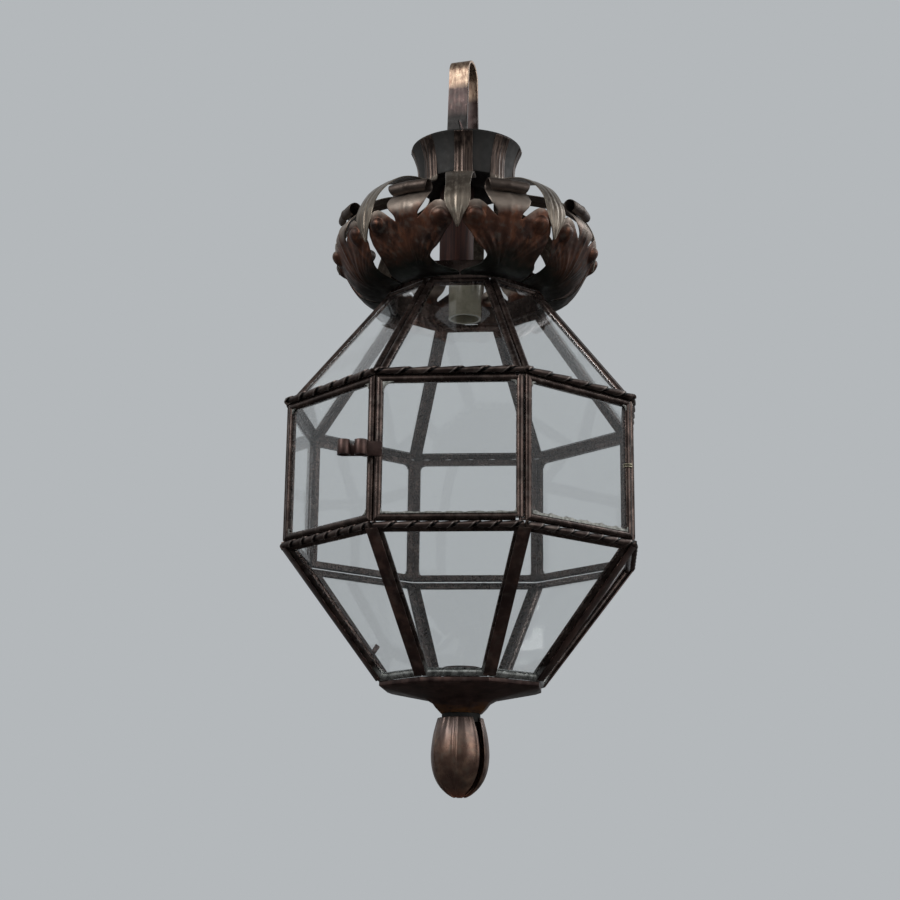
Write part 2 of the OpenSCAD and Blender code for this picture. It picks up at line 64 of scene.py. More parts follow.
# Camera: below the belt, looking up at the lantern a little from its left
camera_place = Matrix.Translation((0.12304, -1.52594, -0.7866))
camera_turn = Matrix.Rotation(math.radians(5.10), 4, "Z")
camera_tilt = Matrix.Rotation(math.radians(104.05), 4, "X")
camera_roll = Matrix.Rotation(math.radians(0.67), 4, "Z")
bpy.ops.object.camera_add(location=(0, 0, 0))
camera = bpy.context.object
camera.name = "camera"
camera.matrix_world = camera_place @ camera_turn @ camera_tilt @ camera_roll
camera.data.lens = 65.86
camera.data.sensor_width = 36
bpy.context.scene.camera = camera
bpy.context.scene.view_settings.view_transform = "Standard"


# Materials


def srgb(code):
    """Linear colour of an sRGB hex value."""
    parts = [int(code[i : i + 2], 16) / 255 for i in (1, 3, 5)]
    return [p / 12.92 if p <= 0.04045 else ((p + 0.055) / 1.055) ** 2.4 for p in parts] + [1.0]


def add(tree, kind, inputs=None, **settings):
    """Adds one node. An input is another node's output or a plain value."""
    made = tree.nodes.new("ShaderNode" + kind)
    for key, value in settings.items():
        setattr(made, key, value)
    for key, value in (inputs or {}).items():
        if isinstance(value, bpy.types.NodeSocket):
            tree.links.new(value, made.inputs[key])
        else:
            made.inputs[key].default_value = value
    return made


def ramp(tree, factor, stops):
    """A colour ramp through (place, hex colour or grey value) stops."""
    made = add(tree, "ValToRGB", {0: factor})
    elements = made.color_ramp.elements
    while len(elements) < len(stops):
        elements.new(0.5)
    for element, (place, colour) in zip(elements, stops):
        element.position = place
        element.color = srgb(colour) if isinstance(colour, str) else (colour, colour, colour, 1)
    return made.outputs["Color"]


def blank_material(name):
    """A material with one Principled shader, and its tree, shader and Object coordinates."""
    material = bpy.data.materials.new(name)
    material.use_nodes = True
    tree = material.node_tree
    shader = next(n for n in tree.nodes if n.type == "BSDF_PRINCIPLED")
    place = add(tree, "TexCoord").outputs["Object"]
    return material, tree, shader, place


def noise(tree, place, size_mm, detail=4.0, rough=0.55, stretch=(1, 1, 1)):
    """Noise whose spots are about size_mm across."""
    moved = add(tree, "Mapping", {"Vector": place, "Scale": stretch}).outputs[0]
    inputs = {"Vector": moved, "Scale": 1 / (size_mm * MM), "Detail": detail, "Roughness": rough}
    return add(tree, "TexNoise", inputs).outputs["Fac"]


def mix(tree, factor, a, b, blend="MIX"):
    """Mixes two colours."""
    made = add(tree, "Mix", data_type="RGBA", blend_type=blend)
    for key, value in ((0, factor), (6, a), (7, b)):
        if isinstance(value, bpy.types.NodeSocket):
            tree.links.new(value, made.inputs[key])
        else:
            made.inputs[key].default_value = srgb(value) if isinstance(value, str) else value
    return made.outputs[2]


def beaten_copper(name, colours, streak_mm, metal=0.75, rough=(0.38, 0.62), bump_mm=0.25, drawn=0.12):
    """Copper sheet, hand beaten and brown with age: dull where dust lies, rubbed bright in places."""
    material, tree, shader, place = blank_material(name)
    broad = noise(tree, place, 28, 5, 0.6)
    spots = noise(tree, place, 6, 3, 0.5)
    streaks = noise(tree, place, streak_mm, 4, 0.6, (1, 1, drawn))
    dark, brown, worn, grey = colours
    base = mix(tree, ramp(tree, broad, ((0.38, 0.0), (0.62, 1.0))), dark, brown)
    rubbed = mix(tree, ramp(tree, streaks, ((0.50, 0.0), (0.72, 0.8))), base, worn)
    dusty = mix(tree, ramp(tree, spots, ((0.52, 0.0), (0.70, 0.55))), rubbed, grey)
    tree.links.new(dusty, shader.inputs["Base Color"])
    dull = add(tree, "MapRange", {0: spots, 1: 0.3, 2: 0.7, 3: rough[0], 4: rough[1]}).outputs[0]
    tree.links.new(dull, shader.inputs["Roughness"])
    shader.inputs["Metallic"].default_value = metal
    hammered = noise(tree, place, 9, 2, 0.4)
    dents = add(tree, "Bump", {"Height": hammered, "Distance": 1.6 * bump_mm * MM, "Strength": 0.7})
    pitted = {"Height": spots, "Distance": bump_mm * MM, "Strength": 0.6, "Normal": dents.outputs[0]}
    pits = add(tree, "Bump", pitted)
    tree.links.new(pits.outputs[0], shader.inputs["Normal"])
    return material, tree, shader, place, dusty


def leaf_copper():
    """Leaf copper: rust brown on the belly, grey-brown on the upper lobes, a dark green-grey patina at the
    foot deepened nearly to black as painted shade, and painted shade on the roll.
    """
    material, tree, shader, place, dusty = beaten_copper(
        "beaten_copper_leaves", ("#2e2320", "#5c3b2d", "#7b4f39", "#5b544d"), 7)
    moved = ragged_height(tree, place, 22, 15)
    level = add(tree, "MapRange", {0: moved, 1: -0.255, 2: -0.155, 3: 0.0, 4: 1.0}).outputs[0]
    # Painted shade: near black at the foot, where the leaves meet the neck under the crown, over a dark
    # green-grey patina.
    foot = mix(tree, ramp(tree, level, ((0.05, 1.0), (0.26, 0.0))), dusty, "#1f201b")
    top = mix(tree, ramp(tree, level, ((0.46, 0.0), (0.56, 0.85))), foot, "#8a7f75")
    # Painted shade: darker on the roll, whose front and underside lie in shadow.
    rolled = mix(tree, by_level(tree, place, ((-0.190, 0.0), (-0.184, 0.85)), 2), top, "#3c322d")
    tree.links.new(rolled, shader.inputs["Base Color"])
    return material


def ragged_height(tree, place, spot_mm, wander_mm):
    """The height in metres, off by up to wander_mm in spots of spot_mm."""
    height = add(tree, "SeparateXYZ", {0: place}).outputs["Z"]
    wander = {0: noise(tree, place, spot_mm, 3), 1: 2 * wander_mm * MM, 2: -wander_mm * MM}
    ragged = add(tree, "Math", wander, operation="MULTIPLY_ADD").outputs[0]
    return add(tree, "Math", {0: height, 1: ragged}, operation="ADD").outputs[0]


def by_level(tree, place, stops, wander_mm=4):
    """A grey value that follows the height in metres through (height, value) stops, with a ragged edge."""
    moved = ragged_height(tree, place, 9, wander_mm)
    low, high = stops[0][0], stops[-1][0]
    level = add(tree, "MapRange", {0: moved, 1: low, 2: high, 3: 0.0, 4: 1.0}).outputs[0]
    return ramp(tree, level, [((z - low) / (high - low), value) for z, value in stops])


def soldered_strip():
    """Brass strip whose lowest bars are coated with pale solder."""
    material, tree, shader, place, dusty = beaten_copper(
        "soldered_brass_strip", STRIP_COLOURS, 14, 0.85, (0.2, 0.34), 0.03, 1)
    tinned = by_level(tree, place, ((-0.628, 1.0), (-0.621, 1.0), (-0.614, 0.0)), 3)
    lumps = ramp(tree, noise(tree, place, 6, 5, 0.6), ((0.35, 0.0), (0.65, 1.0)))
    grey = mix(tree, lumps, "#6c6e6b", "#b4b6b2")
    tree.links.new(mix(tree, tinned, dusty, grey), shader.inputs["Base Color"])
    return material


def wound_copper():
    """Copper of the wound trim: painted shade, near black, in its seam, and a painted highlight along the
    lip beside it.
    """
    material, tree, shader, place, dusty = beaten_copper(
        "wound_dark_copper", ("#3a302d", "#554843", "#74665f", "#605853"), 12, 0.8, (0.26, 0.4), 0.04, 1)
    seam = add(tree, "Attribute", attribute_name="seam").outputs["Fac"]
    # Painted shade: near black in the seam's groove.
    black = mix(tree, ramp(tree, seam, ((0.0, 0.0), (0.25, 0.0), (0.45, 1.0))), dusty, "#060505")
    lip = add(tree, "Attribute", attribute_name="lip").outputs["Fac"]
    # Painted highlight: paler along the lip beside the seam.
    rubbed = mix(tree, ramp(tree, lip, ((0.3, 0.0), (0.8, 0.8))), black, "#8f8580")
    tree.links.new(rubbed, shader.inputs["Base Color"])
    return material


def spun_tray():
    """Tray copper: rose brown under the rim, golden where the neck is rubbed."""
    material, tree, shader, place, dusty = beaten_copper(
        "spun_copper_tray", ("#322624", "#4d3a35", "#68514a", "#584b46"), 16, 0.75, (0.32, 0.46), 0.06, 1)
    golden = by_level(tree, place, ((-0.6545, 1.0), (-0.650, 0.75), (-0.642, 0.35), (-0.637, 0.0)), 2)
    patches = noise(tree, place, 14, 3, 0.5, (1, 1, 4))
    rubbed = add(tree, "Math", {0: golden, 1: patches}, operation="MULTIPLY").outputs[0]
    gold = mix(tree, ramp(tree, rubbed, ((0.25, 0.0), (0.6, 0.9))), dusty, "#8a5c30")
    tree.links.new(gold, shader.inputs["Base Color"])
    return material


def grey_ribbon():
    """Ribbon copper: beige-grey over the shoulder, with painted shade, dark brown and streaked, where it
    lines the collar.
    """
    material, tree, shader, place, dusty = beaten_copper(
        "grey_copper_ribbon", ("#5a5148", "#776d62", "#94897c", "#817b70"), 2.2, 0.8, (0.28, 0.44), 0.12)
    # Painted shade where the ribbon lines the collar: dark brown, with paler streaks as painted glints.
    drawn = ramp(tree, noise(tree, place, 3, 3, 0.6, (1, 1, 0.1)), ((0.42, 0.0), (0.62, 1.0)))
    dark = mix(tree, drawn, "#2a211e", "#54463f")
    lined = mix(tree, by_level(tree, place, ((-0.141, 0.0), (-0.134, 0.95)), 1), dusty, dark)
    tree.links.new(lined, shader.inputs["Base Color"])
    return material


def worn_lit_and_shaded_loop():
    """Loop copper: rubbed bright at the top of its arch and lighter there as painted light where it faces
    up; dark brown down its legs, near black low on them as painted shade.
    """
    material, tree, shader, place, dusty = beaten_copper(
        "worn_lit_and_shaded_copper_loop", ("#2b2322", "#433634", "#5f4f4a", "#524b48"), 3, 0.8, (0.25, 0.42), 0.15)
    marks = ramp(tree, noise(tree, place, 2.6, 4, 0.6, (1, 1, 0.25)), ((0.38, 0.0), (0.62, 1.0)))
    bright = mix(tree, marks, "#7d6455", "#b39c86")
    # Rubbed wear and painted light: paler at the top of the arch, which faces up into the light.
    worn = mix(tree, by_level(tree, place, ((-0.034, 0.0), (-0.026, 0.9)), 2), dusty, bright)
    # Painted shade: near black low on the legs, which face down.
    black = mix(tree, by_level(tree, place, ((-0.066, 1.0), (-0.054, 0.0)), 3), worn, "#141211")
    tree.links.new(black, shader.inputs["Base Color"])
    return material


def beaten_bud():
    """Bud copper: pale rose brown, greyer at the neck, red at the tip."""
    material, tree, shader, place, dusty = beaten_copper(
        "beaten_copper_bud", ("#523f38", "#765d50", "#987c69", "#6d6358"), 16, 0.8, (0.26, 0.38), 0.05, 1)
    neck = mix(tree, by_level(tree, place, ((-0.685, 0.0), (-0.668, 0.6))), dusty, "#6e625e")
    tip = mix(tree, by_level(tree, place, ((-0.731, 0.85), (-0.722, 0.0)), 2), neck, "#a0604a")
    tree.links.new(tip, shader.inputs["Base Color"])
    return material


def old_glass():
    """Drawn window glass, faintly green, with slow waves left by drawing."""
    material, tree, shader, place = blank_material("drawn_window_glass")
    shader.inputs["Base Color"].default_value = srgb("#f6f7f7")
    shader.inputs["Transmission Weight"].default_value = 1.0
    shader.inputs["Roughness"].default_value = 0.015
    shader.inputs["IOR"].default_value = 1.52
    drawn = noise(tree, place, 45, 1, 0.3)
    waves = add(tree, "Bump", {"Height": drawn, "Distance": 0.5 * MM, "Strength": 0.3})
    tree.links.new(waves.outputs[0], shader.inputs["Normal"])
    return material


def fired_glaze():
    """Cream glaze on a fired lampholder, glossy with a little dirt."""
    material, tree, shader, place = blank_material("cream_fired_glaze")
    dirt = ramp(tree, noise(tree, place, 9, 5, 0.6), ((0.45, 0.0), (0.75, 0.6)))
    tree.links.new(mix(tree, dirt, "#a8a28f", "#6d6656"), shader.inputs["Base Color"])
    shader.inputs["Roughness"].default_value = 0.22
    shader.inputs["Coat Weight"].default_value = 0.4
    return material


def brown_lacquer():
    """Red-brown lacquer on a steel tube, satin, with brush marks along it."""
    material, tree, shader, place = blank_material("brushed_brown_lacquer")
    marks = noise(tree, place, 2.5, 3, 0.5, (1, 1, 0.05))
    brushed = mix(tree, ramp(tree, marks, ((0.4, 0.0), (0.65, 1.0))), "#2a1512", "#45251c")
    tree.links.new(brushed, shader.inputs["Base Color"])
    shader.inputs["Roughness"].default_value = 0.6
    shader.inputs["Metallic"].default_value = 0.5
    lines = add(tree, "Bump", {"Height": marks, "Distance": 0.1 * MM, "Strength": 0.5})
    tree.links.new(lines.outputs[0], shader.inputs["Normal"])
    return material


def tin_solder():
    """Tin and lead solder, dull grey and lumpy where it set."""
    material, tree, shader, place = blank_material("dull_tin_solder")
    lumps = noise(tree, place, 3, 4, 0.6)
    dull = mix(tree, ramp(tree, lumps, ((0.35, 0.0), (0.7, 1.0))), "#5d5d59", "#a1a19b")
    tree.links.new(dull, shader.inputs["Base Color"])
    shader.inputs["Metallic"].default_value = 0.7
    shader.inputs["Roughness"].default_value = 0.5
    rough = add(tree, "Bump", {"Height": lumps, "Distance": 0.4 * MM, "Strength": 0.8})
    tree.links.new(rough.outputs[0], shader.inputs["Normal"])
    return material


LEAF = leaf_copper()
STRIP_COLOURS = ("#352c29", "#4d403b", "#655650", "#5d5550")
STRIP = beaten_copper("drawn_brass_strip", STRIP_COLOURS, 14, 0.85, (0.2, 0.34), 0.03, 1)[0]
FLAT_STRIP = beaten_copper(
    "flat_brown_strip", ("#2c1f1c", "#412e28", "#5a443c", "#4a403a"), 14, 0.6, (0.34, 0.5), 0.04, 1)[0]
LOW_STRIP = soldered_strip()
ROPE = wound_copper()
RIBBON = grey_ribbon()
# Near-black copper that paints the shade on the collar's underside and inside; the finial ring uses it too.
COLLAR = beaten_copper(
    "shade_dark_spun_copper", ("#0e0d0a", "#15120f", "#221c18", "#191815"), 12, 0.15, (0.6, 0.72), 0.08)[0]
TRAY = spun_tray()
BUD = beaten_bud()
LOOP = worn_lit_and_shaded_loop()
GLASS = old_glass()
GLAZE = fired_glaze()
LACQUER = brown_lacquer()
SOLDER = tin_solder()
BINDING = beaten_copper(
    "tinned_binding_wire", ("#8d8672", "#b5ad95", "#d0c9b2", "#a59e8c"), 4, 0.8, (0.25, 0.4), 0.05)[0]


# Modelling helpers


def start_clean():
    """Leaves edit mode and deselects everything."""
    if bpy.context.object and bpy.context.object.mode != "OBJECT":
        bpy.ops.object.mode_set(mode="OBJECT")
    bpy.ops.object.select_all(action="DESELECT")


def settle(piece, name, material, body="lantern", smooth=40):
    """Puts the piece's place into its mesh, names it, and gives it its material, slot and body."""
    start_clean()
    piece.select_set(True)
    bpy.context.view_layer.objects.active = piece
    bpy.ops.object.transform_apply(location=True, rotation=True, scale=True)
    bpy.ops.object.shade_smooth_by_angle(angle=math.radians(smooth))
    piece.name = name
    piece.data.name = name
    piece.data.materials.clear()
    piece.data.materials.append(material)
    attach(piece, body)
    return piece


def apply_modifier(piece, kind, **settings):
    """Adds one modifier and applies it."""
    modifier = piece.modifiers.new(kind.lower(), kind)
    for key, value in settings.items():
        setattr(modifier, key, value)
    bpy.context.view_layer.objects.active = piece
    bpy.ops.object.modifier_apply(modifier=modifier.name)


def copy_mesh(piece, turn=None):
    """A copy with its own mesh, turned by a matrix."""
    made = piece.copy()
    made.data = piece.data.copy()
    bpy.context.scene.collection.objects.link(made)
    if turn is not None:
        made.data.transform(turn)
    return made


def rows_at(rows, place):
    """A smooth curve through the rows, at a place from 0 to 1 along them."""
    x = place * (len(rows) - 1)
    i = min(int(x), len(rows) - 2)
    t = x - i
    a, b, c, d = (rows[max(0, min(len(rows) - 1, j))] for j in (i - 1, i, i + 1, i + 2))
    return [0.5 * (2 * q + (r - p) * t + (2 * p - 5 * q + 4 * r - s) * t * t
                   + (3 * q - p - 3 * r + s) * t ** 3)
            for p, q, r, s in zip(a, b, c, d)]


def bulge(x, centre, width):
    """A smooth bump of height 1 at centre."""
    return math.exp(-(((x - centre) / width) ** 2))


def flat_blank(across, along):
    """A flat grid from -1 to 1 both ways, with across by along faces."""
    start_clean()
    bpy.ops.mesh.primitive_grid_add(x_subdivisions=across, y_subdivisions=along, size=2, location=(0, 0, 0))
    return bpy.context.object


def join_into(whole, parts):
    """Joins the parts, the whole among them, into the whole."""
    start_clean()
    for part in parts:
        part.select_set(True)
    bpy.context.view_layer.objects.active = whole
    bpy.ops.object.join()


def beaten_sheet(name, shape, across, along, thick, material, levels=1):
    """A flat grid, bent point by point to shape(u, v) in millimetres, then thickened and smoothed."""
    piece = flat_blank(across, along)
    for vertex in piece.data.vertices:
        u, v = vertex.co.x, (vertex.co.y + 1) / 2
        vertex.co = Vector(shape(u, v)) * MM
    apply_modifier(piece, "SOLIDIFY", thickness=thick * MM, offset=-1)
    apply_modifier(piece, "SUBSURF", levels=levels, render_levels=levels)
    return settle(piece, name, material, smooth=60)


def polar(r, degrees, z):
    """A point at r from the axis, turned from the front."""
    a = math.radians(degrees)
    return (r * math.sin(a), -r * math.cos(a), z)


def softened(node, material, width, segments=2, body="lantern", angle=30):
    """A copy of a solid with its edges rounded off."""
    start_clean()
    piece = copy_mesh(NODES[node])
    piece.parent = None
    for key in list(piece.keys()):
        del piece[key]
    piece.select_set(True)
    bpy.context.view_layer.objects.active = piece
    bpy.ops.object.mode_set(mode="EDIT")
    bpy.ops.mesh.select_all(action="SELECT")
    bpy.ops.mesh.remove_doubles(threshold=0.00001)
    bpy.ops.mesh.dissolve_limited(angle_limit=math.radians(1))
    bpy.ops.object.mode_set(mode="OBJECT")
    apply_modifier(piece, "BEVEL", width=width * MM, segments=segments, limit_method="ANGLE",
                   angle_limit=math.radians(angle), use_clamp_overlap=True)
    settle(piece, node + "_soft", material, body)
    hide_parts(node)
    return piece


# Crown leaves: a flat blank is slit beside the tongue, its side lobes are cut short, and it is beaten
LEAF_COLUMNS = 54
LEAF_ROWS = 96
SPLIT_ROW = 38
LOBE_ROW = 57
SLIT = 7 / 27
NEAR = 0.001
# Radius, height and half-width in degrees, from the foot up to the slits
BODY = [
    (77.55, -254.0, 22.0), (86.0, -253.4, 21.5), (95.5, -250.9, 12.5), (101.6, -247.6, 9.3),
    (107.5, -243.0, 8.3), (113.0, -236.0, 13.3), (118.5, -226.3, 17.0), (122.3, -219.0, 20.0),
    (125.2, -213.0, 20.6)]
# Half-width where a leaf nearly meets its neighbour, as everywhere but between the two front leaves
CLOSE_HALF = (22.0, 21.7, 21.0, 19.6, 18.9, 19.8, 21.2, 21.3, 20.6)
CLOSE_BODY = [(r, z, half) for (r, z, _), half in zip(BODY, CLOSE_HALF)]
# The same for the tongue, from the slits up, over and into its roll
TONGUE = [
    (125.2, -213.0, 5.34), (127.6, -208.0, 5.8), (129.0, -201.0, 8.2), (127.0, -194.0, 9.6),
    (121.8, -188.0, 10.2), (117.6, -184.0, 10.4), (116.2, -180.2, 10.4), (117.8, -176.6, 10.2),
    (121.2, -175.2, 9.8), (124.7, -176.9, 9.4), (125.8, -180.4, 9.0), (124.2, -183.6, 8.4),
    (121.0, -184.6, 7.8)]
# Radius, height, inner and outer edge in degrees of a side lobe
LOBE = [
    (125.2, -213.0, 5.34, 20.6), (126.2, -210.3, 6.8, 20.3), (127.0, -207.6, 8.2, 19.6),
    (127.7, -205.0, 9.5, 18.8), (128.2, -202.5, 10.8, 17.9), (128.4, -200.3, 12.2, 16.9),
    (128.4, -198.6, 13.6, 15.6)]
BOSS_AT = 14.9
BOSS_Z = -214
BOSS_R = 8.2
BOSS_H = 5.5


def beaten_relief(angle, z, tongue):
    """How far the hammer has driven the leaf outwards at a place, in millimetres."""
    away = math.hypot((abs(angle) - BOSS_AT) * 2.2, z - BOSS_Z) / BOSS_R
    boss = 0 if tongue else BOSS_H * max(0, 1 - away * away) ** 0.6
    climb = max(0, min(1, (z + 251) / 37))
    midrib = 1.2 * bulge(angle, 0, 0.75) * min(1, 6 * climb)
    if tongue:
        return midrib - 0.8 * (angle / 12) ** 2
    side_rib = 1.0 * bulge(abs(angle), 1.5 + BOSS_AT * climb ** 1.3, 1.5) * (climb > 0) * (1 - climb * 0.6)
    flutes = 0.55 * math.cos(angle * 1.35 / (0.25 + climb)) * min(1, 5 * climb) * (1 - 0.8 * climb)
    return boss + midrib + side_rib + flutes


def leaf_place(u, row, part, k):
    """The place in the crown of a vertex of leaf k's flat blank."""
    centre = math.degrees(STEP) * (k - 0.5) + CROWN_TURN
    open_side = (k == 1 and u < 0) or (k == SIDES and u > 0)
    if part == "lobe":
        r, z, inner, outer = rows_at(LOBE, (row - SPLIT_ROW) / (LOBE_ROW - SPLIT_ROW))
        angle = math.copysign(inner + (abs(u) - SLIT) / (1 - SLIT) * (outer - inner), u)
    elif part == "tongue":
        r, z, half = rows_at(TONGUE, (row - SPLIT_ROW) / (LEAF_ROWS - SPLIT_ROW))
        angle = u / SLIT * half
    else:
        r, z, half = rows_at(BODY if open_side else CLOSE_BODY, row / SPLIT_ROW)
        angle = u * half
    return polar(r + beaten_relief(angle, z, part == "tongue" and row > SPLIT_ROW + 3), centre + angle, z)


def select_in(piece, kind, chosen):
    """Selects the faces or edges of a piece for which chosen(place) holds, and enters edit mode."""
    start_clean()
    bpy.context.view_layer.objects.active = piece
    bpy.ops.object.mode_set(mode="EDIT")
    bpy.ops.mesh.select_mode(type=kind)
    bpy.ops.mesh.select_all(action="DESELECT")
    bpy.ops.object.mode_set(mode="OBJECT")
    items = piece.data.polygons if kind == "FACE" else piece.data.edges
    for item in items:
        item.select = chosen([piece.data.vertices[i].co for i in item.vertices])
    bpy.ops.object.mode_set(mode="EDIT")


def row_of(point):
    """The row of the leaf's flat blank on which a point lies."""
    return (point.y + 1) / 2 * LEAF_ROWS


def above_lobe(points):
    """Whether all the points lie beside the tongue and above the side lobes."""
    return all(abs(p.x) > SLIT - NEAR and row_of(p) > LOBE_ROW - NEAR for p in points)


def beside_tongue(points):
    """Whether all the points lie on one of the two slits."""
    return all(abs(abs(p.x) - SLIT) < NEAR and row_of(p) > SPLIT_ROW - NEAR for p in points)


def beaten_leaf(k):
    """One leaf, from blank to finished sheet."""
    piece = flat_blank(LEAF_COLUMNS, LEAF_ROWS)
    select_in(piece, "FACE", above_lobe)
    bpy.ops.mesh.delete(type="FACE")
    select_in(piece, "EDGE", beside_tongue)
    bpy.ops.mesh.edge_split(type="EDGE")
    bpy.ops.object.mode_set(mode="OBJECT")
    mesh = piece.data
    part_of = {}
    for face in mesh.polygons:
        middle = face.center
        part = "body" if row_of(middle) < SPLIT_ROW else "tongue" if abs(middle.x) < SLIT else "lobe"
        for i in face.vertices:
            if part != "body" or i not in part_of:
                part_of[i] = part
    for i, vertex in enumerate(mesh.vertices):
        vertex.co = Vector(leaf_place(vertex.co.x, row_of(vertex.co), part_of[i], k)) * MM
    apply_modifier(piece, "SOLIDIFY", thickness=LEAF_T * MM, offset=-1)
    apply_modifier(piece, "SUBSURF", levels=1, render_levels=1)
    settle(piece, f"leaf_{k}", LEAF, smooth=60)
    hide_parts(f"crown_leaf_{k}")


for k in range(1, SIDES + 1):
    beaten_leaf(k)


# Crown ribbons: from the collar's rim down its side, out over the shoulder and down to a point
RIBBON_ROWS = [
    (55.6, -96.6, 9.2), (52.4, -103.0, 9.2), (49.0, -113.0, 9.0), (47.9, -123.0, 9.0), (47.6, -131.8, 9.2),
    (47.7, -138.0, 10.0), (51.0, -143.0, 12.0), (62.0, -147.5, 13.4), (80.0, -152.0, 13.6),
    (98.0, -158.5, 13.4), (112.0, -168.0, 12.6), (122.0, -180.5, 11.6), (127.6, -193.5, 12.4),
    (128.4, -203.0, 11.4),
    (128.0, -210.5, 7.6), (126.8, -217.0, 4.2), (125.6, -222.0, 2.2), (124.8, -224.5, 0.7)]
# How much higher each ribbon's shoulder was bent than the first one's
SHOULDER_LIFT = (0, 1.0, 1.5, 2.5, 3.0, 3.5, 4.5, 4.5)


def ribbon_shape(k):
    """The shape of ribbon k, for beaten_sheet."""
    centre = math.degrees(STEP) * (k - 1) + CROWN_TURN

    def shape(u, v):
        r, z, half = rows_at(RIBBON_ROWS, 1 - v)
        flutes = 0.28 * math.cos(u * 4 * math.pi) * (1 - u * u)
        lift = SHOULDER_LIFT[k - 1] * bulge(r, 88, 24)
        aside = math.degrees(math.asin(min(1, u * half / r)))
        return polar(r + flutes + 0.4 * bulge(u, 0, 0.1), centre + aside, z + lift)

    return shape


for k in range(1, SIDES + 1):
    ribbon = beaten_sheet(f"ribbon_{k}", ribbon_shape(k), 17, 61, LEAF_T, RIBBON)
    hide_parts(f"crown_ribbon_{k}")


# Bud: four cupped petals that close to a tip
PETAL_ROWS = [(0.05, 0.76, 45), (0.12, 0.82, 47), (0.25, 0.92, 50), (0.40, 0.985, 52), (0.52, 1.00, 52),
              (0.66, 0.95, 51), (0.78, 0.83, 49), (0.88, 0.64, 46), (0.96, 0.38, 38), (1.00, 0.16, 24)]
# How far the bud leans to the left
BUD_LEAN = 1.4
# Each petal's middle in degrees, its width against the rows, and how far it lies over its neighbours
PETALS = ((-3.4, 1.0, 1.8), (98.5, 0.68, 1.4), (176.6, 1.0, 1.8), (-93.4, 0.83, 0))


def petal_shape(middle, share, over):
    """The shape of one petal, for beaten_sheet."""
    def shape(u, v):
        drop, reach, wide = rows_at(PETAL_ROWS, 1 - v)
        midrib = 0.7 * bulge(u, 0, 0.04) - 0.3 * bulge(abs(u), 0.11, 0.05)
        flutes = 0.4 * math.cos(abs(u) * 5 * math.pi) * max(0, 1 - 2.4 * drop)
        rolled_edge = 0.6 * bulge(abs(u), 0.95, 0.04) * min(1, 4 * (1 - drop))
        hollow = -0.8 * u ** 4
        x, y, z = polar(reach * (BUD_R - 1.2) + over + midrib + flutes + rolled_edge + hollow,
                        middle + share * wide * u, NECK_Z + drop * (TIP_Z - NECK_Z))
        return (x - BUD_LEAN, y, z)

    return shape


for k, (middle, share, over) in enumerate(PETALS, 1):
    petal = beaten_sheet(f"petal_{k}", petal_shape(middle, share, over), 60, 48, 1.5, BUD)
    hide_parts(f"finial_petal_{k}")


# Ropes: a round bar with one seam, twisted along its length. Its depth is a share of the bar's radius.
SEAM_AT = 0.06
SEAM_LOW = 0.60
LIP_STEP = 0.47
LIP_HIGH = 1.07


def twisted_bar(name, node, pitch, material, clear):
    """One length of rope, twisted and copied round the belt's eight sides, clear of the door's swing."""
    low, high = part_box(node)
    z = (low.z + high.z) / 2 / MM + clear
    out = -low.y / MM - LIP_HIGH * ROPE_R
    run = 2 * (out - ROPE_R) * math.tan(STEP / 2)
    start_clean()
    bpy.ops.mesh.primitive_cylinder_add(vertices=28, radius=ROPE_R * MM, depth=run * MM, location=(0, 0, 0))
    piece = bpy.context.object
    bpy.ops.object.mode_set(mode="EDIT")
    bpy.ops.mesh.select_all(action="DESELECT")
    bpy.ops.object.mode_set(mode="OBJECT")
    for edge in piece.data.edges:
        a, b = (piece.data.vertices[i].co for i in edge.vertices)
        edge.select = abs(a.z - b.z) > run * MM / 2
    bpy.ops.object.mode_set(mode="EDIT")
    bpy.ops.mesh.select_mode(type="EDGE")
    bpy.ops.mesh.subdivide(number_cuts=int(run / 1.3))
    bpy.ops.object.mode_set(mode="OBJECT")
    seam = piece.data.attributes.new("seam", "FLOAT", "POINT")
    lip = piece.data.attributes.new("lip", "FLOAT", "POINT")
    for vertex in piece.data.vertices:
        around = (math.atan2(vertex.co.y, vertex.co.x) / (2 * math.pi)) % 1
        # These values mark where the rope's material paints shade into the seam and a highlight along the
        # lip.
        seam.data[vertex.index].value = bulge(around, 0.13, 0.09)
        lip.data[vertex.index].value = bulge(around, 0.96, 0.05)
        if around > SEAM_AT:
            depth = LIP_HIGH - LIP_STEP * (1 - around) ** 1.5
        else:
            depth = SEAM_LOW + LIP_STEP * (1 - around / SEAM_AT)
        vertex.co.x *= depth
        vertex.co.y *= depth
    apply_modifier(piece, "SIMPLE_DEFORM", deform_method="TWIST", deform_axis="Z",
                   angle=-2 * math.pi * run / pitch)
    piece.data.transform(Matrix.Rotation(math.pi / 2, 4, "Y"))
    piece.data.transform(Matrix.Translation((0, -out * MM, z * MM)))
    lengths = [copy_mesh(piece, Matrix.Rotation(STEP * k, 4, "Z")) for k in range(1, SIDES)] + [piece]
    join_into(piece, lengths)
    settle(piece, name, material, smooth=50)
    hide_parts(node)


twisted_bar("top_twisted_rope", "top_rope", 23, ROPE, 0.5)
twisted_bar("bottom_twisted_rope", "bottom_rope", 18, ROPE, -0.5)

# Solder fillets in the inner corners of the belt's panes
BEAD_R = 3.5
SMALL_FILLET = 4
LARGE_FILLET = 9
FILLET_PARTS = 10
FILLET_SEAT = 0.8
FILLET_T = 1.5
FILLET_MIDDLE = -2.05
BELT_A = BELT_R * math.cos(STEP / 2)
STILE_IN = 3.65
RAIL_IN = 3.77
PANE_HALF_W = BELT_A * math.tan(STEP / 2) - STILE_IN / math.cos(STEP / 2) - BEAD_R
PANE_LOW = BELT_LOW_Z + RAIL_IN + BEAD_R
PANE_HIGH = BELT_TOP_Z - RAIL_IN - BEAD_R


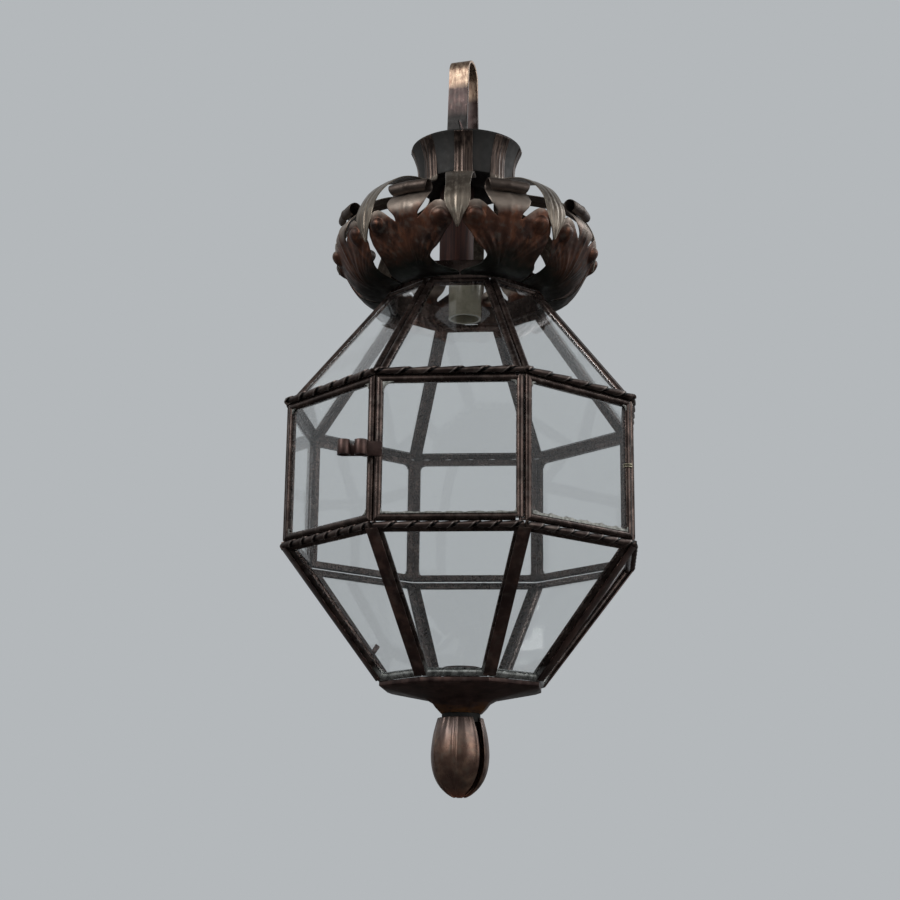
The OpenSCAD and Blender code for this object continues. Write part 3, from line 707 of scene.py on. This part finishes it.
def solder_fillet(reach):
    """One hollow-faced fillet for a lower right corner, in front of the glass."""
    piece = flat_blank(1, FILLET_PARTS)
    for vertex in piece.data.vertices:
        on_arc, v = vertex.co.x > 0, (vertex.co.y + 1) / 2
        if on_arc:
            x, z = -reach + reach * math.sin(math.pi / 2 * v), reach - reach * math.cos(math.pi / 2 * v)
        elif v < 0.5:
            x, z = -reach + 2 * v * (reach + FILLET_SEAT), -FILLET_SEAT
        else:
            x, z = FILLET_SEAT, -FILLET_SEAT + (2 * v - 1) * (reach + FILLET_SEAT)
        vertex.co = Vector((x, FILLET_MIDDLE, z)) * MM
    apply_modifier(piece, "SOLIDIFY", thickness=FILLET_T * MM, offset=0)
    apply_modifier(piece, "BEVEL", width=0.5 * MM, segments=2, limit_method="ANGLE",
                   angle_limit=math.radians(50))
    return piece


def place_fillets():
    """Copies the fillet to the four corners of every belt pane."""
    small, large = solder_fillet(SMALL_FILLET), solder_fillet(LARGE_FILLET)
    for k in range(1, SIDES + 1):
        corners = []
        for across in (-1, 1):
            for up, level in ((1, PANE_LOW), (-1, PANE_HIGH)):
                at_catch = k == 1 and across < 0 and up < 0
                made = copy_mesh(large if at_catch else small, Matrix.Diagonal((across, 1, up, 1)))
                if across * up < 0:
                    made.data.flip_normals()
                corner = (across * PANE_HALF_W * MM, -BELT_A * MM, level * MM)
                made.data.transform(Matrix.Translation(corner))
                made.data.transform(Matrix.Rotation(STEP * (k - 1), 4, "Z"))
                corners.append(made)
        join_into(corners[0], corners)
        body = "door" if k == 1 else "lantern"
        settle(corners[0], f"solder_fillets_{k}", SOLDER, body=body)
    start_clean()
    small.select_set(True)
    large.select_set(True)
    bpy.ops.object.delete()


place_fillets()


# Flat strips that cover the joints between the lower frames
JOINT_W = 11.6
JOINT_T = 1.6
JOINT_OUT = 2.0
TAB_AT = 7
TAB_UP = 21
TAB_L = 16
TAB_HALF_W = 2.4


def bent_tab(start, across, outward, along):
    """A small tongue of strip soldered inside one joint and bent up to hold the pane."""
    def shape(u, v):
        curl = across * (1 + 2.5 * math.sin(0.9 * math.pi * v))
        inwards = (0.3 * along - 0.95 * outward) * TAB_L * v
        return start - 2 * outward + inwards + (0.95 * along + 0.3 * outward) * TAB_HALF_W * u + curl

    beaten_sheet("bent_tab", shape, 8, 24, 1.0, TRAY)


def joint_strip(k):
    """One flat strip from the belt's corner k down to the tray."""
    top = Vector(polar(BELT_R, math.degrees(STEP) * (k - 0.5), BELT_LOW_Z - 4.5))
    foot = Vector(polar(TRAY_FOOT_R, math.degrees(STEP) * (k - 0.5), TRAY_Z + 1.5))
    along = (top - foot).normalized()
    across = Vector((0, 0, 1)).cross(along).normalized()
    outward = along.cross(across).normalized()
    if outward.z > 0:
        across, outward = -across, -outward
    if k == TAB_AT:
        bent_tab(foot + TAB_UP * along, -across, outward, along)
    start_clean()
    bpy.ops.mesh.primitive_cube_add(size=1, location=(0, 0, 0))
    piece = bpy.context.object
    frame_of = Matrix((across, outward, along)).transposed()
    for vertex in piece.data.vertices:
        x, y, z = vertex.co
        place = Vector((JOINT_W * x, JOINT_T * y + JOINT_OUT, (top - foot).length * z))
        vertex.co = ((top + foot) / 2 + frame_of @ place) * MM
    apply_modifier(piece, "BEVEL", width=0.5 * MM, segments=3)
    settle(piece, f"joint_strip_{k}", FLAT_STRIP)


for k in range(1, SIDES + 1):
    joint_strip(k)


def putty_line(k, high, body):
    """An uneven line of solder along the lower edge of one belt pane."""
    start_clean()
    bpy.ops.mesh.primitive_cube_add(size=1, location=(0, 0, 0))
    piece = bpy.context.object
    bpy.ops.object.mode_set(mode="EDIT")
    bpy.ops.mesh.select_all(action="SELECT")
    bpy.ops.mesh.subdivide(number_cuts=31)
    bpy.ops.object.mode_set(mode="OBJECT")
    for vertex in piece.data.vertices:
        x, y, z = vertex.co
        uneven = 1 + 0.25 * math.sin(37 * x) + 0.2 * math.sin(83 * x + k)
        vertex.co = Vector((2 * (PANE_HALF_W + 0.4) * x, -BELT_A - 1.9 + 1.6 * y * (0.6 - z * 0.8),
                            PANE_LOW - 0.6 + (z + 0.5) * high * uneven)) * MM
    piece.data.transform(Matrix.Rotation(STEP * (k - 1), 4, "Z"))
    settle(piece, f"putty_line_{k}", SOLDER, body=body)


putty_line(1, 1.5, "door")
putty_line(2, 2.8, "lantern")


# Two turns of binding wire round one bar
RING_Z = -436
RING_DROP = 2.2
RING_R = 4.2
RING_WIRE_R = 0.7


def wire_ring(name, z):
    """One turn of binding wire round the right-hand bar of belt pane 2."""
    start_clean()
    bpy.ops.mesh.primitive_torus_add(
        major_segments=48, minor_segments=12, major_radius=RING_R * MM, minor_radius=RING_WIRE_R * MM)
    piece = bpy.context.object
    piece.data.transform(Matrix.Translation(((PANE_HALF_W + BEAD_R) * MM, -BELT_A * MM, z * MM)))
    piece.data.transform(Matrix.Rotation(STEP, 4, "Z"))
    settle(piece, name, BINDING)


wire_ring("binding_wire_1", RING_Z)
wire_ring("binding_wire_2", RING_Z - RING_DROP)


# Sheet and strip parts whose solids have the right shape, with their edges rounded
softened("tray", TRAY, 0.5)
softened("door_catch", TRAY, 0.2, body="door")
# The collar takes the near-black copper, whose darkness is painted shade.
softened("top_collar", COLLAR, 0.4)
# The tube is drawn a little slimmer than its solid, and set left of the axis
TUBE_SHARE = 0.86
TUBE_LEFT = 9
tube = softened("cover_tube", LACQUER, 0.3)
slimmer = Matrix.Diagonal((TUBE_SHARE, TUBE_SHARE, 1, 1))
tube.data.transform(Matrix.Translation((-TUBE_LEFT * MM, 0, 0)) @ slimmer)


# Hanging loop: a strip bent over, set a little to the left and turned, its front leg slit from below
LOOP_W = 20.5
LOOP_T = 2.6
LOOP_EYE = 14
LOOP_SPREAD = 22
LOOP_FOOT = 14
LOOP_LEFT = 3.5
LOOP_TURN = -12.5
FEET_Z = FLOOR_Z + 1.5 + LOOP_T
FEET_BEND = 1.5
SLIT_LOW = FEET_Z + 3
SLIT_TOP = -66
LEG_STEPS = 40
ARCH_STEPS = 24
LOOP_COLUMNS = 16
SLIT_COLUMN = 9


def loop_path():
    """The strip's outer line from the front foot over the arch to the rear foot: (depth, height)."""
    outer = LOOP_EYE + LOOP_T
    stand = LOOP_SPREAD + LOOP_T
    front = [(-(stand + LOOP_FOOT), FEET_Z), (-(stand + FEET_BEND), FEET_Z)]
    leg = [(-stand + (stand - outer) * t, FEET_Z + FEET_BEND + (-LOOP_EYE - FEET_Z - FEET_BEND) * t)
           for t in [i / LEG_STEPS for i in range(LEG_STEPS)]]
    arch = [(-outer * math.cos(a), -LOOP_EYE + outer * math.sin(a))
            for a in [math.pi * i / ARCH_STEPS for i in range(ARCH_STEPS + 1)]]
    rear = [(-y, z) for y, z in reversed(front + leg)]
    return front + leg + arch + rear


def slit_place(x, z, right):
    """Parts the front leg's strip beside its slit."""
    if z > SLIT_TOP or z < SLIT_LOW:
        return x
    below = (SLIT_TOP - z) / 14
    low, high = 0.7 + 3.4 * below, 0.7 + 6.2 * below
    low, high = min(low, 5.6), min(high, 8.2)
    seam = (2 * SLIT_COLUMN / LOOP_COLUMNS - 1) * LOOP_W / 2
    if right:
        return high + (x - seam) * (LOOP_W / 2 - high) / (LOOP_W / 2 - seam)
    return low - (seam - x) * (LOOP_W / 2 + low) / (LOOP_W / 2 + seam)


def bent_loop():
    """The loop's strip, from blank to bent and slit."""
    path = loop_path()
    piece = flat_blank(LOOP_COLUMNS, len(path) - 1)
    seam = 2 * SLIT_COLUMN / LOOP_COLUMNS - 1

    def step_of(point):
        return round((point.y + 1) / 2 * (len(path) - 1))

    def in_slit(step):
        return step < len(path) / 2 and SLIT_LOW < path[step][1] < SLIT_TOP

    def on_seam(points):
        return all(abs(p.x - seam) < NEAR and in_slit(step_of(p)) for p in points)

    select_in(piece, "EDGE", on_seam)
    bpy.ops.mesh.edge_split(type="EDGE")
    bpy.ops.object.mode_set(mode="OBJECT")
    mesh = piece.data
    side = {}
    for face in mesh.polygons:
        for i in face.vertices:
            side.setdefault(i, face.center.x > seam)
    turn = Matrix.Rotation(math.radians(LOOP_TURN), 4, "Z")
    for i, vertex in enumerate(mesh.vertices):
        step = step_of(vertex.co)
        y, z = path[step]
        x = vertex.co.x * LOOP_W / 2
        if in_slit(step):
            x = slit_place(x, z, side[i])
        vertex.co = (turn @ Vector((x, y, z)) + Vector((-LOOP_LEFT, 0, 0))) * MM
    apply_modifier(piece, "SOLIDIFY", thickness=LOOP_T * MM, offset=-1)
    apply_modifier(piece, "BEVEL", width=0.4 * MM, segments=2, limit_method="ANGLE",
                   angle_limit=math.radians(50))
    settle(piece, "bent_loop", LOOP, smooth=40)
    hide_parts("hanging_loop")


bent_loop()

# Solids that stay, with their materials
# The finial ring takes the collar's near-black copper, whose darkness is painted shade.
FINISH = {"glass": GLASS, "lower_frame": LOW_STRIP, "roof_frame": STRIP, "belt_frame": STRIP,
          "door_frame": STRIP, "neck_band": STRIP, "lampholder": GLAZE, "candle_cup": FLAT_STRIP,
          "finial_ring": COLLAR, "pivot_wire": STRIP}
for name, solid in NODES.items():
    for part, material in FINISH.items():
        if part in name:
            solid.data.materials.clear()
            solid.data.materials.append(material)


# Studio: a pale floor far below, a pale surround and soft lamps
start_clean()
bpy.ops.mesh.primitive_plane_add(size=14, location=(0, 0, -1.45))
floor = bpy.context.object
floor.name = "floor"
floor_material, tree, shader, place = blank_material("pale_floor")
shader.inputs["Base Color"].default_value = srgb("#c4c6c7")
shader.inputs["Roughness"].default_value = 0.9
floor.data.materials.append(floor_material)
floor.visible_glossy = False

world = bpy.data.worlds.new("studio")
bpy.context.scene.world = world
world.use_nodes = True
tree = world.node_tree
for old in list(tree.nodes):
    tree.nodes.remove(old)
seen = add(tree, "Background", {"Color": srgb("#b4b8bb"), "Strength": 1.0})
fill = add(tree, "Background", {"Color": srgb("#dfe3e6"), "Strength": 0.55})
path = add(tree, "LightPath")
unmirrored = {0: path.outputs["Is Camera Ray"], 1: path.outputs["Is Transmission Ray"]}
straight = add(tree, "Math", unmirrored, operation="MAXIMUM")
# Mirrored surroundings: dark below, brightest above eye level and dimmer overhead, with paler walls behind
towards = add(tree, "SeparateXYZ", {0: add(tree, "TexCoord").outputs["Generated"]}).outputs
upwards = add(tree, "MapRange", {0: towards["Z"], 1: -0.25, 2: 1.0, 3: 0.0, 4: 1.0}).outputs[0]
front = ramp(tree, upwards, ((0.0, "#1e1b1a"), (0.22, "#4c4a4a"), (0.68, "#dde0e1"), (0.95, "#4a4a4a")))
back = ramp(tree, upwards, ((0.0, "#2c2725"), (0.18, "#858789"), (0.68, "#c2c5c7"), (0.95, "#4a4a4a")))
behind = add(tree, "MapRange", {0: towards["Y"], 1: -0.3, 2: 0.5, 3: 0.0, 4: 1.0}).outputs[0]
room = add(tree, "Background", {"Color": mix(tree, behind, front, back), "Strength": 1.0})
mirrored = add(tree, "MixShader", {0: path.outputs["Is Glossy Ray"], 1: fill.outputs[0], 2: room.outputs[0]})
mixed = add(tree, "MixShader", {0: straight.outputs[0], 1: mirrored.outputs[0], 2: seen.outputs[0]})
add(tree, "OutputWorld", {"Surface": mixed.outputs[0]})


def lamp(name, place, size, power, target=(0, 0, -0.38)):
    """A soft square lamp aimed at the lantern."""
    bpy.ops.object.light_add(type="AREA", location=place)
    made = bpy.context.object
    made.name = name
    made.data.size = size
    made.data.energy = power
    aim = Vector(target) - Vector(place)
    made.rotation_euler = aim.to_track_quat("-Z", "Y").to_euler()


lamp("key_lamp", (-1.9, -1.9, 1.1), 1.6, 48)
lamp("fill_lamp", (2.3, -1.5, 0.2), 1.8, 22)
lamp("back_lamp", (2.4, 1.4, 1.2), 1.4, 26)
